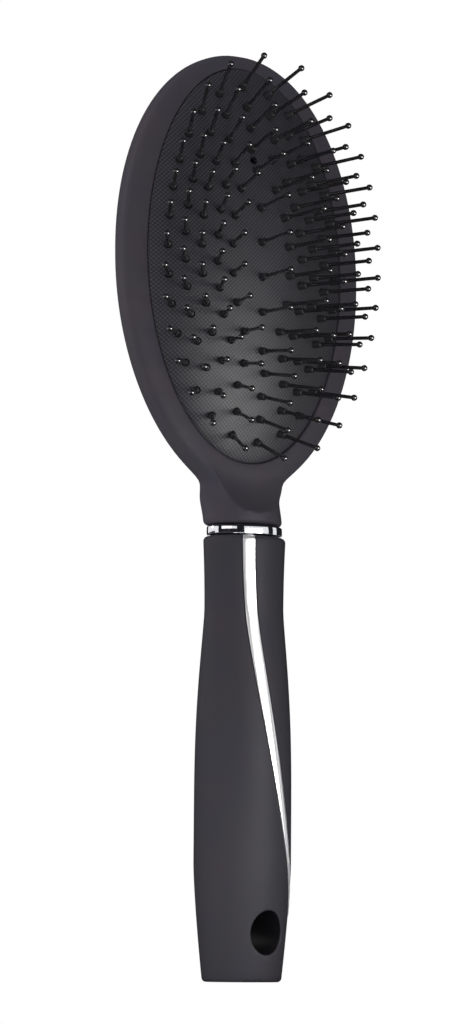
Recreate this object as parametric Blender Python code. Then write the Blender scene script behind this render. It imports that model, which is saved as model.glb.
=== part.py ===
"""Oval cushion brush: a head shell with an air-cushion pad and fanned ball-tipped pins,
a chrome collar and a soft-touch handle with an inlaid silver stripe and a hanging hole.

The brush stands on the flat end of its handle, +Z up, with its pins towards -Y.
Sizes are in millimetres and are turned into metres where a mesh is made.
"""
import math

import bmesh
import bpy
from mathutils import Vector
from mathutils.geometry import delaunay_2d_cdt

MM = 0.001

# Clearance between pieces that touch, and the smaller one round each pin
GAP = 0.3
PIN_CLEARANCE = 0.2

# Handle: length, then width and depth at its end, belly, waist and top
HANDLE_LENGTH = 114.7
END_WIDTH = 21.0
END_DEPTH = 18.8
BELLY_LOW_HEIGHT = 30.0
BELLY_HIGH_HEIGHT = 42.0
BELLY_WIDTH = 25.8
BELLY_DEPTH = 23.6
WAIST_HEIGHT = 95.5
WAIST_WIDTH = 22.0
WAIST_DEPTH = 16.4
TOP_WIDTH = 23.0
TOP_DEPTH = 17.3
END_EDGE = 1.0
TOP_EDGE = 1.3
END_FULLNESS = 1.35
SHOULDER_FULLNESS = 3.0
WAIST_SOFTNESS = 1.25
SOCKET_WALL = 3.1

# Hanging hole through the handle, taller than wide, a little towards the stripe
HOLE_WIDTH = 9.8
HOLE_HEIGHT = 11.4
HOLE_CENTRE_HEIGHT = 12.6
HOLE_SIDE_OFFSET = 1.2

# Silver stripe let into the handle; its angle is 0 at the front and grows towards +X
STRIPE_TOP_ANGLE = math.radians(-19.5)
STRIPE_END_ANGLE = math.radians(58.0)
STRIPE_SWEEP = 1.7
STRIPE_TOP_MARGIN = 1.3
STRIPE_END_HEIGHT = 17.0
STRIPE_TOP_WIDTH = 3.3
STRIPE_END_WIDTH = 0.9
STRIPE_THICKNESS = 1.0
STRIPE_PROUD = 0.12

# Chrome collar between the handle and the neck
COLLAR_HEIGHT = 2.4
COLLAR_SETBACK = 0.95
COLLAR_EDGE = 0.4

# Neck and tang of the head shell; the neck bends back, and a scoop is taken out of its front
NECK_SETBACK = 0.5
NECK_SHIFT = 0.9
NECK_EDGE = 0.8
NECK_BEND = 2.3
NECK_BEND_HEIGHT = 8.0
NECK_STRAIGHT_HEIGHT = 6.0
SCOOP_START = 3.2
SCOOP_TO_PAD = 2.5
SCOOP_EASE = 1.4
TANG_IN_HANDLE = 20.0
TANG_POINT = 1.2

# Head shell: an oval that leans back from the handle's axis
NECK_TO_PAD = 16.5
HEAD_LEAN = math.radians(2.5)
HEAD_WIDTH = 73.2
HEAD_UPPER_LENGTH = 56.5
RIM_ROUNDING = 4.2
BACK_BULGE = 9.5
CROWN_SQUARENESS = 2.07
RIM_SQUARENESS = 5.0
BACK_SQUARENESS = 2.5
NECK_BLEND = 6.7

# Seat of the pad: rim round it, undercut groove, ledge, and wall behind the air space
RIM_SIDE_WIDTH = 7.0
RIM_END_WIDTH = 4.2
RIM_NECK_WIDTH = 6.7
GROOVE_TOP = 1.6
GROOVE_HEIGHT = 1.6
GROOVE_REACH = 1.6
LEDGE_WIDTH = 1.2
BACK_WALL = 3.0
AIR_SQUARENESS = 3.0

# Rubber pad
PAD_CROWN = 8.2
PAD_EDGE_DROP = 0.6
PAD_FULLNESS = 0.85
PAD_THICKNESS = 1.6
VENT_RADIUS = 1.1

# Pins: oval rings that follow the pad, counted from the outside in, then a centre row
RING_COUNTS = (30, 28, 22, 20, 14)
RING_PHASES = (0.17, 0.16, 0.12, 0.20, 0.05)
FIRST_RING_SIDE_INSET = 4.2
FIRST_RING_END_INSET = 5.2
RING_SIDE_STEP = 4.2
RING_END_STEP = 5.8
ROW_COUNT = 4
ROW_PITCH = 9.2
PIN_LENGTH = 13.3
PIN_SIDE_FAN = 1.364
PIN_SIDE_EASE = 0.78
PIN_SKEW = 0.67
PIN_END_FAN = 0.24
PIN_END_SPREAD = 0.39
ROOT_RADIUS = 0.9
ROOT_LENGTH = 2.1
SHAFT_RADIUS = 0.52
BALL_RADIUS = 0.88
BALL_CAP_TURN = math.radians(53.0)
STRIP_THICKNESS = 1.0

# Facets, stations along the lofts, and how far a cutter stands out of what it cuts
ROUND_SEGMENTS = 48
PAD_SEGMENTS = 48
HOLE_SEGMENTS = 32
PIN_SIDES = 3
HANDLE_STATIONS = 22
STRIPE_STATIONS = 26
LOWER_STATIONS = 16
LOWER_SPACING = 1.4
UPPER_STATIONS = 12
UPPER_END = 0.98
OVAL_STEPS = 720
SLOPE_STEP = 0.05
SHARP_ANGLE = math.radians(35.0)
CUT_MARGIN = 1.0

# Derived places
COLLAR_BASE = HANDLE_LENGTH + GAP
NECK_BASE = COLLAR_BASE + COLLAR_HEIGHT + GAP
TANG_END = HANDLE_LENGTH - TANG_IN_HANDLE
TANG_HALF_WIDTH = min(WAIST_WIDTH, TOP_WIDTH) / 2 - SOCKET_WALL - GAP
TANG_HALF_DEPTH = min(WAIST_DEPTH, TOP_DEPTH) / 2 - SOCKET_WALL - GAP
NECK_HALF_WIDTH = TOP_WIDTH / 2 - NECK_SETBACK
NECK_HALF_DEPTH = TOP_DEPTH / 2 - NECK_SETBACK
PAD_SIDE = HEAD_WIDTH / 2 - RIM_SIDE_WIDTH
PAD_END = HEAD_UPPER_LENGTH - RIM_END_WIDTH
HEAD_LOWER_LENGTH = PAD_END + RIM_NECK_WIDTH
HEAD_CENTRE_HEIGHT = NECK_BASE + NECK_TO_PAD + PAD_END * math.cos(HEAD_LEAN)
HEAD_TOP = HEAD_CENTRE_HEIGHT + HEAD_UPPER_LENGTH * math.cos(HEAD_LEAN)
SCOOP_LENGTH = NECK_TO_PAD - SCOOP_TO_PAD - SCOOP_START
NECK_FRONT = NECK_SHIFT - NECK_HALF_DEPTH
GROOVE_FLOOR = -(GROOVE_TOP + GROOVE_HEIGHT)
AIR_DEPTH = RIM_ROUNDING + BACK_BULGE + GROOVE_FLOOR - BACK_WALL


def srgb(red, green, blue):
    """Turn display colour values from 0 to 255 into linear ones."""
    return tuple((value / 255) ** 2.2 for value in (red, green, blue)) + (1.0,)


def make_material(name, colour, roughness, metallic=0.0):
    material = bpy.data.materials.new(name)
    material.use_nodes = True
    shader = material.node_tree.nodes["Principled BSDF"]
    shader.inputs["Base Color"].default_value = colour
    shader.inputs["Roughness"].default_value = roughness
    shader.inputs["Metallic"].default_value = metallic
    material.diffuse_color = colour
    return material


def soft_touch(name):
    return make_material(name, srgb(60, 58, 64), 0.55)


def pad_rubber(name):
    return make_material(name, srgb(56, 56, 60), 0.7)


def pin_nylon(name):
    return make_material(name, srgb(24, 23, 26), 0.25)


def chrome(name):
    return make_material(name, srgb(225, 226, 230), 0.1, 1.0)


def silver(name):
    return make_material(name, srgb(214, 214, 216), 0.28, 1.0)


def smoothstep(value):
    value = min(1.0, max(0.0, value))
    return value * value * (3 - 2 * value)


def mix(start, end, share):
    return start + (end - start) * share


def mesh_from(name, points, faces, material, parent=None):
    """Make an object from points in millimetres, with its faces turned outwards."""
    shape = bmesh.new()
    vertices = [shape.verts.new(Vector(point) * MM) for point in points]
    for face in faces:
        shape.faces.new([vertices[index] for index in face])
    bmesh.ops.recalc_face_normals(shape, faces=shape.faces)
    mesh = bpy.data.meshes.new(name)
    shape.to_mesh(mesh)
    shape.free()
    mesh.shade_smooth()
    mesh.set_sharp_from_angle(angle=SHARP_ANGLE)
    if material:
        mesh.materials.append(material)
    item = bpy.data.objects.new(name, mesh)
    bpy.context.scene.collection.objects.link(item)
    item.parent = parent
    return item


def loft_faces(ring_count, size, closed=False):
    """List the quads between rings of equal size, and end caps unless the loft is closed."""
    faces = []
    spans = ring_count if closed else ring_count - 1
    for ring in range(spans):
        low = ring * size
        high = ((ring + 1) % ring_count) * size
        for index in range(size):
            after = (index + 1) % size
            faces.append((low + index, low + after, high + after, high + index))
    if not closed:
        faces.append(tuple(range(size)))
        faces.append(tuple(range((ring_count - 1) * size, ring_count * size)))
    return faces


def loft(name, rings, material, closed=False, parent=None):
    points = [point for ring in rings for point in ring]
    faces = loft_faces(len(rings), len(rings[0]), closed)
    return mesh_from(name, points, faces, material, parent)


def oval(half_width, half_depth, height, count=ROUND_SEGMENTS):
    """A level oval outline round the handle's axis."""
    points = []
    for index in range(count):
        turn = 2 * math.pi * index / count
        points.append((half_width * math.cos(turn), half_depth * math.sin(turn), height))
    return points


def cut(target, cutter):
    """Cut one object out of another, and leave the cutter as a hidden guide."""
    cutter.hide_render = True
    cutter.display_type = "WIRE"
    modifier = target.modifiers.new(cutter.name, "BOOLEAN")
    modifier.operation = "DIFFERENCE"
    modifier.solver = "EXACT"
    modifier.object = cutter


def grip_profile(height, end, belly, waist, top):
    """Half size of the handle at a height, through its four named stations."""
    if height < BELLY_LOW_HEIGHT:
        share = 1 - (1 - height / BELLY_LOW_HEIGHT) ** END_FULLNESS
        return mix(end, belly, share) / 2
    if height < WAIST_HEIGHT:
        below_waist = (WAIST_HEIGHT - height) / (WAIST_HEIGHT - BELLY_HIGH_HEIGHT)
        share = 1 - max(0.0, 1 - below_waist ** WAIST_SOFTNESS) ** SHOULDER_FULLNESS
        return mix(waist, belly, share) / 2
    share = ((height - WAIST_HEIGHT) / (HANDLE_LENGTH - WAIST_HEIGHT)) ** 2
    return mix(waist, top, share) / 2


def grip_half_width(height):
    return grip_profile(height, END_WIDTH, BELLY_WIDTH, WAIST_WIDTH, TOP_WIDTH)


def grip_half_depth(height):
    return grip_profile(height, END_DEPTH, BELLY_DEPTH, WAIST_DEPTH, TOP_DEPTH)


def grip_point(angle, height, lift):
    """A point on the handle's surface, raised along the surface's normal."""
    half_width = grip_half_width(height)
    half_depth = grip_half_depth(height)
    normal = Vector((math.sin(angle) / half_width, -math.cos(angle) / half_depth)).normalized()
    x = half_width * math.sin(angle) + normal.x * lift
    y = -half_depth * math.cos(angle) + normal.y * lift
    return (x, y, height)


def edge_stations(start, end, edge, steps=3):
    """Heights and insets that round off an edge from a flat face at start towards end."""
    sign = 1 if end > start else -1
    stations = []
    for step in range(steps + 1):
        turn = math.pi / 2 * step / steps
        stations.append((start + sign * edge * (1 - math.cos(turn)), edge * (1 - math.sin(turn))))
    return stations


def build_handle():
    rings = []
    stations = edge_stations(0, HANDLE_LENGTH, END_EDGE)
    low = END_EDGE
    high = HANDLE_LENGTH - TOP_EDGE
    for step in range(1, HANDLE_STATIONS):
        stations.append((mix(low, high, step / HANDLE_STATIONS), 0.0))
    stations += reversed(edge_stations(HANDLE_LENGTH, 0, TOP_EDGE))
    for height, inset in stations:
        half_width = grip_half_width(height) - inset
        half_depth = grip_half_depth(height) - inset
        rings.append(oval(half_width, half_depth, height))
    handle = loft("handle", rings, soft_touch("handle_soft_touch"))
    cut(handle, tang_socket())
    cut(handle, hanging_hole())
    groove_depth = STRIPE_THICKNESS + GAP
    cut(handle, stripe_ribbon("stripe_groove", GAP, groove_depth, CUT_MARGIN, None))
    return handle


def tang_socket():
    half_width = TANG_HALF_WIDTH + GAP
    half_depth = TANG_HALF_DEPTH + GAP
    rings = []
    for height in (TANG_END - GAP, HANDLE_LENGTH + CUT_MARGIN):
        rings.append(oval(half_width, half_depth, height, HOLE_SEGMENTS))
    return loft("tang_socket", rings, None)


def hanging_hole():
    rings = []
    for y in (-BELLY_DEPTH, BELLY_DEPTH):
        ring = []
        for index in range(HOLE_SEGMENTS):
            turn = 2 * math.pi * index / HOLE_SEGMENTS
            x = HOLE_SIDE_OFFSET + HOLE_WIDTH / 2 * math.cos(turn)
            z = HOLE_CENTRE_HEIGHT + HOLE_HEIGHT / 2 * math.sin(turn)
            ring.append((x, y, z))
        rings.append(ring)
    return loft("hanging_hole", rings, None)


def stripe_ribbon(name, margin, depth, rise, material):
    """The stripe's curved ribbon, or with a margin the groove that it lies in."""
    top = HANDLE_LENGTH - STRIPE_TOP_MARGIN
    length = top - STRIPE_END_HEIGHT
    rings = []
    for step in range(STRIPE_STATIONS + 1):
        share = step / STRIPE_STATIONS
        height = mix(top + margin, STRIPE_END_HEIGHT - margin, share)
        along = min(1.0, max(0.0, (top - height) / length))
        angle = mix(STRIPE_TOP_ANGLE, STRIPE_END_ANGLE, along ** STRIPE_SWEEP)
        width = mix(STRIPE_TOP_WIDTH, STRIPE_END_WIDTH, along ** 3) + 2 * margin
        half_width = grip_half_width(height)
        half_depth = grip_half_depth(height)
        reach = math.hypot(half_width * math.cos(angle), half_depth * math.sin(angle))
        half_angle = width / 2 / reach
        ring = [grip_point(angle + half_angle * side, height, rise) for side in (-1, 0, 1)]
        ring += [grip_point(angle + half_angle * side, height, -depth) for side in (1, 0, -1)]
        rings.append(ring)
    return loft(name, rings, material)


def build_stripe():
    return stripe_ribbon("stripe_trim", 0.0, STRIPE_THICKNESS, STRIPE_PROUD, silver("silver_trim"))


def build_collar():
    """A closed oval band round the tang, with small rounded outer edges."""
    top = COLLAR_BASE + COLLAR_HEIGHT
    outer = [(COLLAR_BASE, COLLAR_EDGE), (COLLAR_BASE + COLLAR_EDGE, 0.0)]
    outer += [(top - COLLAR_EDGE, 0.0), (top, COLLAR_EDGE)]
    half_width = TOP_WIDTH / 2 - COLLAR_SETBACK
    half_depth = TOP_DEPTH / 2 - COLLAR_SETBACK
    rings = [oval(half_width - inset, half_depth - inset, z) for z, inset in outer]
    for height in (top, COLLAR_BASE):
        rings.append(oval(TANG_HALF_WIDTH + GAP, TANG_HALF_DEPTH + GAP, height))
    return loft("collar_ring", rings, chrome("collar_chrome"), closed=True)


def rim_plane(height):
    """Depth (y) of the rim's plane at a height; the head leans back about its centre."""
    return (height - HEAD_CENTRE_HEIGHT) * math.tan(HEAD_LEAN)


def superoval(share, squareness):
    """How much of its depth a rounded form keeps at a share of its reach."""
    share = min(1.0, abs(share))
    return (1 - share ** squareness) ** (1 / squareness)


def neck_share(height):
    """How far the neck's plain oval has turned into the head's section at a height."""
    span = NECK_TO_PAD - NECK_STRAIGHT_HEIGHT
    return smoothstep((height - NECK_BASE - NECK_STRAIGHT_HEIGHT) / span)


def scoop_front(height):
    """Depth (y) of the scoop's floor, from the front of the neck back to the rim's plane."""
    rise = min(1.0, max(0.0, (height - NECK_BASE - SCOOP_START) / SCOOP_LENGTH))
    return mix(NECK_FRONT, rim_plane(height), 1 - (1 - rise) ** SCOOP_EASE)


def head_section(height):
    """Half width, widest depth, front depth and back depth of the head at a height."""
    along = (height - HEAD_CENTRE_HEIGHT) / math.cos(HEAD_LEAN)
    plane = rim_plane(height)
    middle = plane + RIM_ROUNDING
    if along >= 0:
        share = along / HEAD_UPPER_LENGTH
        half_width = HEAD_WIDTH / 2 * superoval(share, CROWN_SQUARENESS)
        front = middle - RIM_ROUNDING * superoval(share, RIM_SQUARENESS)
        back = middle + BACK_BULGE * superoval(share, BACK_SQUARENESS)
        return half_width, middle, front, back
    oval_half = HEAD_WIDTH / 2 * superoval(along / HEAD_LOWER_LENGTH, 2)
    half_width = (oval_half ** NECK_BLEND + NECK_HALF_WIDTH ** NECK_BLEND) ** (1 / NECK_BLEND)
    bend = smoothstep((height - NECK_BASE) / NECK_BEND_HEIGHT)
    neck_middle = mix(NECK_SHIFT, middle + NECK_BEND, bend)
    front = mix(NECK_FRONT, plane, neck_share(height))
    middle = mix(neck_middle, middle, neck_share(height))
    back_share = (height - NECK_BASE) / (HEAD_CENTRE_HEIGHT - NECK_BASE)
    neck_back = NECK_SHIFT + NECK_HALF_DEPTH
    back = mix(neck_back, RIM_ROUNDING + BACK_BULGE, smoothstep(back_share))
    return half_width, middle, front, back


def head_ring(height, inset=0.0):
    """One level outline of the head shell: squarer at the front, rounder at the back."""
    half_width, middle, front, back = head_section(height)
    front_power = 2 / mix(2.0, RIM_SQUARENESS, neck_share(height))
    back_power = 2 / mix(2.0, BACK_SQUARENESS, neck_share(height))
    points = []
    for index in range(ROUND_SEGMENTS):
        turn = 2 * math.pi * index / ROUND_SEGMENTS
        across = math.cos(turn)
        along = math.sin(turn)
        power = back_power if along > 0 else front_power
        reach = back - middle if along > 0 else middle - front
        x = (half_width - inset) * math.copysign(abs(across) ** power, across)
        y = middle + (reach - inset) * math.copysign(abs(along) ** power, along)
        if along < 0 and height < HEAD_CENTRE_HEIGHT:
            y = max(y, scoop_front(height))
        points.append((x, y, height))
    return points


def build_head_shell(frame):
    """Tang, neck and oval head in one loft; its last ring is a small flat cap at the top."""
    rings = [
        oval(TANG_HALF_WIDTH - TANG_POINT, TANG_HALF_DEPTH - TANG_POINT, TANG_END),
        oval(TANG_HALF_WIDTH, TANG_HALF_DEPTH, TANG_END + TANG_POINT),
        oval(TANG_HALF_WIDTH, TANG_HALF_DEPTH, NECK_BASE),
    ]
    for height, inset in edge_stations(NECK_BASE, HEAD_TOP, NECK_EDGE):
        rings.append(head_ring(height, inset))
    start = NECK_BASE + NECK_EDGE
    for step in range(1, LOWER_STATIONS + 1):
        share = (step / LOWER_STATIONS) ** LOWER_SPACING
        rings.append(head_ring(mix(start, HEAD_CENTRE_HEIGHT, share)))
    for step in range(1, UPPER_STATIONS + 1):
        turn = math.pi / 2 * UPPER_END * step / UPPER_STATIONS
        rise = HEAD_UPPER_LENGTH * math.sin(turn) * math.cos(HEAD_LEAN)
        rings.append(head_ring(HEAD_CENTRE_HEIGHT + rise))
    shell = loft("head_shell", rings, soft_touch("head_soft_touch"))
    cut(shell, pad_seat(frame))
    return shell


def pad_oval(offset, level, share=1.0, count=PAD_SEGMENTS):
    """An oval that follows the pad's edge, in the rim's plane frame."""
    points = []
    for index in range(count):
        turn = 2 * math.pi * index / count
        x = (PAD_SIDE + offset) * share * math.cos(turn)
        along = (PAD_END + offset) * share * math.sin(turn)
        points.append((x, along, level))
    return points


def pad_seat(frame):
    """The opening in the rim, the groove under its lip and the air space below."""
    rings = [
        pad_oval(GAP, RIM_ROUNDING),
        pad_oval(GAP, -GROOVE_TOP),
        pad_oval(GAP + GROOVE_REACH, -GROOVE_TOP),
        pad_oval(GAP + GROOVE_REACH, GROOVE_FLOOR),
        pad_oval(-LEDGE_WIDTH, GROOVE_FLOOR),
    ]
    for share in (0.97, 0.88, 0.7, 0.45):
        level = GROOVE_FLOOR - AIR_DEPTH * superoval(share, AIR_SQUARENESS)
        rings.append(pad_oval(-LEDGE_WIDTH, level, share))
    return loft("pad_seat", rings, None, parent=frame)


def crown_level(x, along):
    """Height of the pad's crown over the rim's plane."""
    spread = (x / PAD_SIDE) ** 2 + (along / PAD_END) ** 2
    return -PAD_EDGE_DROP + PAD_CROWN * max(0.0, 1 - spread) ** PAD_FULLNESS


def pin_direction(x, along):
    """Pins fan out from the middle of the pad towards its edge, and are a little skewed.

    The fan eases off towards the sides and opens towards the ends. The skew turns the
    pins at both sides towards +X in the upper half, and towards -X in the lower one.
    """
    side = x / PAD_SIDE
    end = along / PAD_END
    sideways = PIN_SIDE_FAN * side - PIN_SIDE_EASE * side ** 3 + PIN_SKEW * side ** 2 * end
    endways = PIN_END_FAN * end + PIN_END_SPREAD * end ** 3
    return Vector((sideways, endways, 1.0)).normalized()


def pin_frame(place):
    """A pin's foot on the crown, its direction, and two directions across it."""
    (x, along), outward = place
    foot = Vector((x, along, crown_level(x, along)))
    direction = pin_direction(x, along)
    around = direction.cross(Vector((*outward, 0.0))).normalized()
    across = around.cross(direction)
    return foot, direction, across, around


def crown_slope(x, along):
    """How steeply the crown rises towards +X and up the head."""
    side = crown_level(x + SLOPE_STEP, along) - crown_level(x - SLOPE_STEP, along)
    end = crown_level(x, along + SLOPE_STEP) - crown_level(x, along - SLOPE_STEP)
    return side / (2 * SLOPE_STEP), end / (2 * SLOPE_STEP)


def pierce(place, radius, depth):
    """Corners where a pin's outline of this radius meets the pad, this deep along the pin."""
    foot, direction, across, around = pin_frame(place)
    side_slope, end_slope = crown_slope(foot.x, foot.y)
    steepness = direction.z - side_slope * direction.x - end_slope * direction.y
    corners = []
    for index in range(PIN_SIDES):
        turn = math.pi + 2 * math.pi * index / PIN_SIDES
        offset = radius * (math.cos(turn) * across + math.sin(turn) * around)
        surface = side_slope * offset.x + end_slope * offset.y - offset.z
        corners.append(foot + offset + direction * (surface / steepness - depth))
    return corners


def ring_places(ring):
    """Foot and outward direction of each pin of a ring, evenly spaced along its oval."""
    half_side = PAD_SIDE - FIRST_RING_SIDE_INSET - ring * RING_SIDE_STEP
    half_end = PAD_END - FIRST_RING_END_INSET - ring * RING_END_STEP
    points = []
    for index in range(OVAL_STEPS + 1):
        turn = 2 * math.pi * index / OVAL_STEPS
        points.append(Vector((half_side * math.sin(turn), -half_end * math.cos(turn))))
    lengths = [0.0]
    for before, after in zip(points, points[1:]):
        lengths.append(lengths[-1] + (after - before).length)
    places = []
    count = RING_COUNTS[ring]
    index = 0
    for pin in range(count):
        target = lengths[-1] * (pin + RING_PHASES[ring]) / count
        while lengths[index + 1] < target:
            index += 1
        share = (target - lengths[index]) / (lengths[index + 1] - lengths[index])
        foot = points[index].lerp(points[index + 1], share)
        outward = (foot.x / half_side ** 2, foot.y / half_end ** 2)
        places.append((tuple(foot), outward))
    return places


def row_places():
    """Foot and sideways direction of each pin in the pad's centre row."""
    middle = (ROW_COUNT - 1) / 2
    return [((0.0, (index - middle) * ROW_PITCH), (1.0, 0.0)) for index in range(ROW_COUNT)]


def all_places():
    places = [place for ring in range(len(RING_COUNTS)) for place in ring_places(ring)]
    return places + row_places()


def vent_place():
    """The vent's middle, halfway between the topmost pins of the two inner rings."""
    feet = []
    for ring in (len(RING_COUNTS) - 2, len(RING_COUNTS) - 1):
        feet.append(Vector(ring_places(ring)[RING_COUNTS[ring] // 2][0]))
    return tuple((feet[0] + feet[1]) / 2), (1.0, 0.0)


def build_cushion(frame):
    """The domed pad: a perforated sheet lifted onto its crown, with a lip in the groove."""
    hole_radius = ROOT_RADIUS + PIN_CLEARANCE / math.cos(math.pi / PIN_SIDES)
    top = []
    bottom = []
    holes = []
    openings = [(place, hole_radius) for place in all_places()]
    openings.append((vent_place(), VENT_RADIUS))
    for place, radius in openings:
        holes.append(range(len(top), len(top) + PIN_SIDES))
        top += pierce(place, radius, 0.0)
        bottom += pierce(place, radius, PAD_THICKNESS)
    lip_top = -(GROOVE_TOP + GAP)
    lip_bottom = GROOVE_FLOOR + GAP
    border = range(len(top), len(top) + PAD_SEGMENTS)
    top += [Vector(point) for point in pad_oval(0.0, -PAD_EDGE_DROP)]
    bottom += [Vector(point) for point in pad_oval(-PAD_THICKNESS, lip_bottom)]
    triangles = sheet_triangles([point.xy for point in top], holes, border)
    size = len(top)
    points = top + bottom
    faces = list(triangles)
    faces += [tuple(index + size for index in reversed(face)) for face in triangles]
    for hole in holes:
        faces += wall_faces(hole, [index + size for index in hole])
    ring = list(border)
    for offset, level in ((0.0, lip_top), (GROOVE_REACH, lip_top), (GROOVE_REACH, lip_bottom)):
        after = list(range(len(points), len(points) + PAD_SEGMENTS))
        points += pad_oval(offset, level)
        faces += wall_faces(ring, after)
        ring = after
    faces += wall_faces(ring, [index + size for index in border])
    return mesh_from("cushion", points, faces, pad_rubber("pad_rubber"), frame)


def sheet_triangles(plan, holes, border):
    """Triangles of a flat sheet between its border and its holes."""
    edges = []
    owner = {}
    for number, hole in enumerate(holes):
        corners = list(hole)
        edges += list(zip(corners, corners[1:] + corners[:1]))
        for corner in corners:
            owner[corner] = number
    rim = list(border)
    edges += list(zip(rim, rim[1:] + rim[:1]))
    result = delaunay_2d_cdt(plan, edges, [], 0, 1e-6, True)
    origin = [ids[0] for ids in result[3]]
    triangles = []
    for face in result[2]:
        corners = [origin[index] for index in face]
        owners = {owner.get(corner, -1) for corner in corners}
        if len(owners) > 1 or -1 in owners:
            triangles.append(tuple(corners))
    return triangles


def wall_faces(first, second):
    """Quads between two closed loops of equal length."""
    first = list(first)
    second = list(second)
    faces = []
    for index in range(len(first)):
        after = (index + 1) % len(first)
        faces.append((first[index], first[after], second[after], second[index]))
    return faces


def pin_loops(place):
    """Triangular loops up one pin, from its foot on the strip to the top of its ball."""
    foot, direction, across, around = pin_frame(place)
    stages = [
        (ROOT_LENGTH, ROOT_RADIUS),
        (ROOT_LENGTH, SHAFT_RADIUS),
        (PIN_LENGTH - BALL_RADIUS, SHAFT_RADIUS),
        (PIN_LENGTH, BALL_RADIUS),
        (PIN_LENGTH + BALL_RADIUS * math.sin(BALL_CAP_TURN), BALL_RADIUS * math.cos(BALL_CAP_TURN)),
    ]
    loops = [pierce(place, ROOT_RADIUS, PAD_THICKNESS + GAP)]
    for distance, radius in stages:
        loop = []
        for index in range(PIN_SIDES):
            turn = math.pi + 2 * math.pi * index / PIN_SIDES
            offset = radius * (math.cos(turn) * across + math.sin(turn) * around)
            loop.append(foot + direction * distance + offset)
        loops.append(loop)
    return loops


def build_pins(name, places, closed, frame):
    """Pins fused to the strip under the pad that carries them.

    A pin's corners are its inner one, then its outer ones behind and ahead. The strip
    runs from the outer corner ahead to the next pin's outer corner behind, with the
    inner corners along its other side.
    """
    points = []
    faces = []
    tops = []
    unders = []
    for place in places:
        loops = pin_loops(place)
        start = len(points)
        for loop in loops:
            points += loop
        indices = [[start + PIN_SIDES * level + side for side in range(PIN_SIDES)]
                   for level in range(len(loops))]
        for lower, upper in zip(indices, indices[1:]):
            faces += wall_faces(lower, upper)
        faces.append(tuple(indices[-1]))
        tops.append(indices[0])
        under = list(range(len(points), len(points) + PIN_SIDES))
        points += pierce(place, ROOT_RADIUS, PAD_THICKNESS + GAP + STRIP_THICKNESS)
        unders.append(under)
        faces.append(tuple(under))
    count = len(places)
    spans = count if closed else count - 1
    for index in range(spans):
        faces += strip_span(tops[index], unders[index], tops[(index + 1) % count],
                            unders[(index + 1) % count])
    for index in range(count):
        top = tops[index]
        under = unders[index]
        faces.append((top[1], top[2], under[2], under[1]))
    if not closed:
        faces.append((tops[0][0], tops[0][1], unders[0][1], unders[0][0]))
        faces.append((tops[-1][0], tops[-1][2], unders[-1][2], unders[-1][0]))
    return mesh_from(name, points, faces, pin_nylon(name + "_nylon"), frame)


def strip_span(top, under, next_top, next_under):
    """The strip's four faces between one pin and the next."""
    inner, behind, ahead = range(PIN_SIDES)
    return [
        (top[inner], top[ahead], next_top[behind], next_top[inner]),
        (under[inner], under[ahead], next_under[behind], next_under[inner]),
        (top[ahead], next_top[behind], next_under[behind], under[ahead]),
        (top[inner], next_top[inner], next_under[inner], under[inner]),
    ]


def build_frame():
    """An empty in the rim's plane: its X across, Y up the head and Z along the middle pins."""
    frame = bpy.data.objects.new("pad_frame", None)
    frame.location = (0.0, 0.0, HEAD_CENTRE_HEIGHT * MM)
    frame.rotation_euler = (math.pi / 2 - HEAD_LEAN, 0.0, 0.0)
    bpy.context.scene.collection.objects.link(frame)
    return frame


def main():
    for item in list(bpy.data.objects):
        bpy.data.objects.remove(item)
    frame = build_frame()
    build_handle()
    build_stripe()
    build_collar()
    build_head_shell(frame)
    build_cushion(frame)
    for ring in range(len(RING_COUNTS)):
        build_pins(f"pin_ring_{ring + 1}", ring_places(ring), True, frame)
    build_pins("pin_row_centre", row_places(), False, frame)


main()
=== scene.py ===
# %% [markdown]
# # An oval cushion brush, dressed for the camera
# The brush was first built as a solid model: head shell, rubber pad, pins, collar, handle and
# stripe. This lesson loads those solids, and then remodels each piece finely and gives it a finish.
# The solids stay in the file as the frame that tells every piece where it sits and what it moves with.

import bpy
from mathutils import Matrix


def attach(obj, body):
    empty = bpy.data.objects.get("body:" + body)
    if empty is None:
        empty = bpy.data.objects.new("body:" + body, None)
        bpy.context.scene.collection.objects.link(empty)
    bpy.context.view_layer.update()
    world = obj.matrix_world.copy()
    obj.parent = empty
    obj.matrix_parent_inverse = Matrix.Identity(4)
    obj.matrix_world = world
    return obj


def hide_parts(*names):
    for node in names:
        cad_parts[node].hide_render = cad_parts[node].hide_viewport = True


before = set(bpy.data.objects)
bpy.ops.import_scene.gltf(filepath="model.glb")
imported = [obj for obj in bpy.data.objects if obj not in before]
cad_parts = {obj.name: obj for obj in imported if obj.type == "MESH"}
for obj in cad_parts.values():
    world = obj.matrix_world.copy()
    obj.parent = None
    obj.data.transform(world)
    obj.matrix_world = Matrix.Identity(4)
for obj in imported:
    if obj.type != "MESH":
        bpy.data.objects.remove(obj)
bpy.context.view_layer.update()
print("solids:", sorted(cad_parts))

# %% [markdown]
# ## Tools of the trade
# Blender measures in metres, and a brush is easier to think of in millimetres, so the sizes below
# are in millimetres and are multiplied by MM where they reach an operator. Only the floor, the lamps
# and the cards, which are as large as a table, stay in metres. Three helpers come back in every
# cell: one deselects everything, one selects a single piece, and one says what was made.

# %% Modules and the first helpers
import math

import bmesh
import bpy
import numpy as np
from mathutils import Matrix, Vector

MM = 0.001


def deselect_all():
    if bpy.context.object and bpy.context.object.mode != "OBJECT":
        bpy.ops.object.mode_set(mode="OBJECT")
    bpy.ops.object.select_all(action="DESELECT")


def select_only(piece):
    deselect_all()
    piece.select_set(True)
    bpy.context.view_layer.objects.active = piece


def tell(piece):
    size = [round(side / MM, 1) for side in piece.dimensions]
    print(piece.name, len(piece.data.polygons), "faces,", "size in mm", size)


print("helpers ready")

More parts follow.
